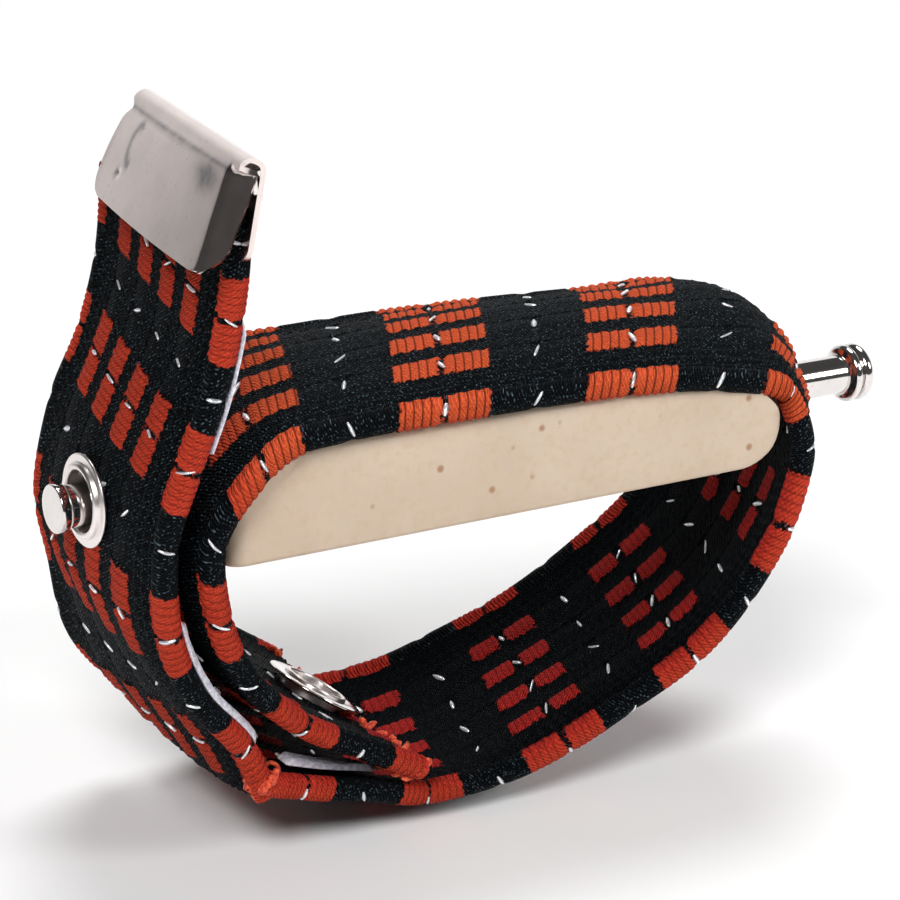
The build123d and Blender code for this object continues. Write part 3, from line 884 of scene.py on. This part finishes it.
def bent_line(corners, radii):
    """Straight runs joined by arcs, in a plane, as closely spaced points."""
    step = 0.35
    corners = [np.array(c, float) for c in corners]
    path = [corners[0]]
    for before, corner, after, radius in zip(corners, corners[1:], corners[2:], radii):
        back, on = before - corner, after - corner
        back, on = back / np.linalg.norm(back), on / np.linalg.norm(on)
        half = math.acos(np.clip(back @ on, -1, 1)) / 2
        reach = radius / math.tan(half)
        middle = corner + (back + on) / np.linalg.norm(back + on) * radius / math.sin(half)
        a, b = corner + back * reach - middle, corner + on * reach - middle
        swing = math.acos(np.clip(a @ b / radius ** 2, -1, 1))
        for k in range(9):
            s = k / 8
            path.append(middle + (a * math.sin((1 - s) * swing) + b * math.sin(s * swing)) / math.sin(swing))
    path.append(corners[-1])
    path = np.array(path)
    lengths = distances(path)
    marks = np.linspace(0, lengths[-1], max(2, round(lengths[-1] / step)) + 1)
    return np.stack([np.interp(marks, lengths, path[:, k]) for k in (0, 1)], -1)


# The tab's section at its two sides, from the back plate's foot over the fold to the flap's foot:
# each corner is (x, y, z).
TAB_NEAR = [(-28.6, -18.5, 25.6), (-27.2, -18.5, 33.1), (-28.8, -18.5, 33.9), (-32.1, -18.4, 25.2)]
TAB_FAR = [(-25.2, 5.3, 26.0), (-23.6, 5.3, 33.0), (-25.0, 5.3, 33.6), (-28.9, 6.3, 25.8)]
FLAP_LENGTH = 8.2
TAB_SHEET, TAB_BEND, TAB_ROWS, TAB_HALF = 0.4, 0.75, 72, 48     # thickness, fold radius, grid of points
CLIP_SHEET, CLIP_BEND, CLIP_ROWS = 0.3, 0.35, 40


def folded(corners, radii, count):
    """A section's line through its corners, rounded, as count points (x, y, z) and their marks."""
    flat = bent_line([(x, z) for x, y, z in corners], radii)
    lengths = distances(flat)
    marks = np.linspace(0, lengths[-1], count)
    x, z = (np.interp(marks, lengths, flat[:, k]) for k in (0, 1))
    return np.stack([x, np.interp(marks, (0, lengths[-1]), (corners[0][1], corners[-1][1])), z], -1), marks


def smudge_and_shade(across, up):
    """How grey the flap is at a place: handling marks and a shade line under the fold."""
    patch = 0.75 * math.exp(-((across - 4.8) / 2.1) ** 2 - ((up - FLAP_LENGTH + 1.5) / 1.1) ** 2)
    ring = math.hypot((across - 19.6) / 1.3, (up - 5.4) / 1.7)
    hook = 0.7 * math.exp(-((ring - 1) / 0.26) ** 2) if across > 19.4 else 0.0
    line = 0.75 * math.exp(-((up - FLAP_LENGTH + 0.25) / 0.25) ** 2)
    return max(patch, hook, line)


def pull_tab():
    """Folded sheet: back plate, fold and a front flap whose near margin curls in."""
    near, marks = folded(TAB_NEAR, [TAB_BEND] * 2, TAB_ROWS)
    far, _ = folded(TAB_FAR, [TAB_BEND] * 2, TAB_ROWS)
    total = marks[-1]
    rows, smudges_and_shade = [], []
    for a, b, mark in zip(near, far, marks):
        to_end, flap = total - mark, np.clip((mark - (total - FLAP_LENGTH - 0.2)) / 0.6, 0, 1)
        low = np.clip(1 - to_end / FLAP_LENGTH, 0, 1)
        width = b[1] - a[1]
        row, marked = [], []
        for k in range(2 * TAB_HALF + 1):
            share = (math.sin((k / TAB_HALF - 1) * math.pi / 2) + 1) / 2
            trims = [drawn_in(corner, min(to_end, mark * 1.5)) for corner in (2.2, 1.6)]
            trims[1] += 1.1 * (1 - smooth(np.array(low / 0.2))) * flap - 0.7 * math.sin(low * math.pi) * flap
            spread = (trims[0] + share * (width - trims[0] - trims[1])) / width
            point = a + (b - a) * spread
            past = 1.8 - 0.5 * low - spread * width
            curl = flap * 0.95 * (past + math.hypot(past, 0.15)) / 2
            bulge = 0.35 * flap * math.sin(math.pi * np.clip(spread, 0, 1))
            dent = 0.22 * flap * math.exp(-((spread * width - 21.0) ** 2 + (to_end - 2.6) ** 2) / 0.10)
            row.append((point[0] + curl - bulge + dent, point[1], point[2]))
            marked.append(smudge_and_shade(spread * width, to_end) * flap)
        rows.append(row)
        smudges_and_shade.append(marked)
    values = {"smudge_and_shade": np.array(smudges_and_shade)}
    piece = sheet_piece("pull_tab_sheet", np.array(rows), TAB_SHEET, TAB_NICKEL, values)
    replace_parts(piece, "pull_tab")
    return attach(piece, "tip")


def end_clip():
    """The flattened channel that grips the strap's cut end inside the tab."""
    shape = [(-0.3, -2.6), (-0.2, -0.6), (0.75, -0.95), (0.95, -2.9)]
    sides = []
    for (_, back, front, _), inset in ((TAB_NEAR, 0.1), (TAB_FAR, -0.5)):
        corners = [(x + dx, y + inset, z + dz)
                   for (x, y, z), (dx, dz) in zip((back, back, front, front), shape)]
        sides.append(folded(corners, [CLIP_BEND] * 2, CLIP_ROWS)[0])
    rows = [[a + (b - a) * s for s in np.linspace(0, 1, 30)] for a, b in zip(*sides)]
    piece = sheet_piece("end_clip_channel", np.array(rows), CLIP_SHEET, NICKEL)
    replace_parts(piece, "end_clip")
    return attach(piece, "tip")


pull_tab()
end_clip()


# ---- stitching and frayed ends ----
def threads(name, routes, radius, node=None):
    """Short round threads, each along its own few points."""
    points, faces = [], []
    for route in routes:
        line, _ = spline(route, np.linspace(0, len(route) - 1, 4 * (len(route) - 1) + 1))
        ahead = np.gradient(line, axis=0)
        ahead /= np.linalg.norm(ahead, axis=1, keepdims=True)
        side = np.cross(ahead, (0.31, 0.87, 0.38))
        side /= np.linalg.norm(side, axis=1, keepdims=True)
        up = np.cross(ahead, side)
        first = len(points)
        for k in range(len(line)):
            size = radius * (0.6 if k in (0, len(line) - 1) else 1)
            for a in range(6):
                angle = a * math.pi / 3
                points.append(line[k] + size * (side[k] * math.cos(angle) + up[k] * math.sin(angle)))
        faces += tube_faces(len(line), 6, first)
    piece = mesh_piece(name, np.array(points), faces, THREAD)
    if node:
        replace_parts(piece, node)
    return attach(piece, "bar")


def seam(u, face):
    """Stitches across the strap at u, on its outer face for 1 or its inner face for -1."""
    routes = []
    for k in range(7):
        v = (k - 3) * 3.2
        grid = [(u - 0.13, v - 0.4, 0.7), (u - 0.05, v - 0.2, 1.12),
                (u + 0.05, v + 0.2, 1.12), (u + 0.13, v + 0.4, 0.7)]
        us, vs, lifts = zip(*grid)
        routes.append(on_strap(us, vs, np.array(lifts) * face))
    return routes


threads("tail_stitch_threads", seam(0.35, 1), 0.2, "tail_stitches")
threads("kink_stitch_threads", seam(22.5, -1), 0.2, "kink_stitches")


def frayed(name, u, count):
    """Loops of orange thread that stand out of a crumpled end."""
    rng = random.Random(name)
    reach = 0.22
    routes = []
    for k in range(count):
        v = -12 + 24 * (k + rng.random()) / count
        start = (u + rng.uniform(-0.12, 0.05), v, rng.uniform(-0.9, 0.9))
        tip_u = u + rng.uniform(0.4, 1.0) * reach * rng.choice((-1, 1))
        bulge = rng.uniform(-1.5, 1.5)
        middle = (tip_u, v + rng.uniform(-0.5, 0.5), bulge)
        end = (u + rng.uniform(-0.1, 0.1), v + rng.uniform(-0.9, 0.9), rng.uniform(-0.9, 0.9))
        us, vs, lifts = zip(start, middle, end)
        routes.append(on_strap(us, vs, lifts))
    return threads(name, routes, 0.24)


frayed("tail_end_loops", 0.12, 90)
frayed("kink_loops", 22.7, 110)


def crumple():
    """The near edge cord where it doubles back at the kink: a tangle of its threads."""
    rng = random.Random(5)
    routes = []
    for _ in range(16):
        ends = []
        for u, sign, free in ((23.34, 1, True), (22.92, -1, False)):
            u += sign * rng.uniform(-0.05, 0.12)
            ends.append(on_strap(u, -EDGE_ROW + rng.uniform(-0.9, 0.9), rng.uniform(-0.9, 0.9), free))
        off = np.array([rng.uniform(-1.2, 0.4), rng.uniform(-0.9, 0.5), rng.uniform(-0.8, 0.8)])
        routes.append([ends[0], (ends[0] + ends[1]) / 2 + off, ends[1]])
    return threads("kink_tangle", routes, 0.42)


crumple()

# ---- floor, light and camera ----
LOW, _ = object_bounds()


AZIMUTH = -31.4            # the camera's, in degrees; the wall stands square to it


def backdrop():
    """A pale floor that curves up into a wall behind the object."""
    material = bpy.data.materials.new("backdrop")
    material.use_nodes = True
    shader = material.node_tree.nodes["Principled BSDF"]
    shader.inputs["Base Color"].default_value = (0.93, 0.93, 0.93, 1)
    shader.inputs["Roughness"].default_value = 1.0
    shader.inputs["Specular IOR Level"].default_value = 0.0
    floor = LOW.z / MM - 0.2
    turn_y, radius, top = 420.0, 160.0, 420.0
    profile = [(-1100.0, 0.0), (turn_y, 0.0)]
    profile += [(turn_y + radius * math.sin(a), radius * (1 - math.cos(a)))
                for a in np.linspace(0.1, math.pi / 2, 14)]
    profile.append((turn_y + radius, top))
    across = np.array((math.cos(math.radians(AZIMUTH)), math.sin(math.radians(AZIMUTH))))
    behind = np.array((-across[1], across[0]))
    points = []
    for side in (-1400.0, 1400.0):
        points += [(*(across * side + behind * y), floor + z) for y, z in profile]
    count = len(profile)
    faces = [(k, count + k, count + k + 1, k + 1) for k in range(count - 1)]
    mesh_piece("floor", points, faces, material)


def lamp(name, place, size, power):
    """A round lamp that faces the object. Its place and size are in metres."""
    light = bpy.data.lights.new(name, "AREA")
    light.shape = "DISK"
    light.size = size
    light.energy = power
    lit = added(name, light)
    lit.location = place
    lit.rotation_euler = (-Vector(place)).to_track_quat("-Z", "Y").to_euler()


def camera(elevation, roll, distance, target, lens):
    a, e = math.radians(AZIMUTH), math.radians(elevation)
    back = Vector((math.sin(a) * math.cos(e), -math.cos(a) * math.cos(e), math.sin(e)))
    data = bpy.data.cameras.new("camera")
    data.lens = lens
    data.sensor_width = 36
    data.clip_start = 0.01
    eye = added("camera", data)
    eye.rotation_mode = "QUATERNION"
    eye.location = Vector(target) + back * distance
    eye.rotation_quaternion = (-back).to_track_quat("-Z", "Y") @ Matrix.Rotation(roll, 3, "Z").to_quaternion()
    bpy.context.scene.camera = eye


backdrop()
lamp("key", (-0.45, -0.50, 0.60), 0.34, 5.5)
lamp("fill", (0.50, -0.62, 0.42), 0.30, 3.0)
lamp("top", (0.15, 0.25, 0.80), 0.40, 4.0)
world = bpy.data.worlds.new("studio")
world.use_nodes = True
world.node_tree.nodes["Background"].inputs["Color"].default_value = (1, 1, 1, 1)
world.node_tree.nodes["Background"].inputs["Strength"].default_value = 0.06
bpy.context.scene.world = world
bpy.context.scene.view_settings.view_transform = "Standard"
camera(18.3, math.radians(1.0), 0.3, (0, 0, 0.002), 146.4)
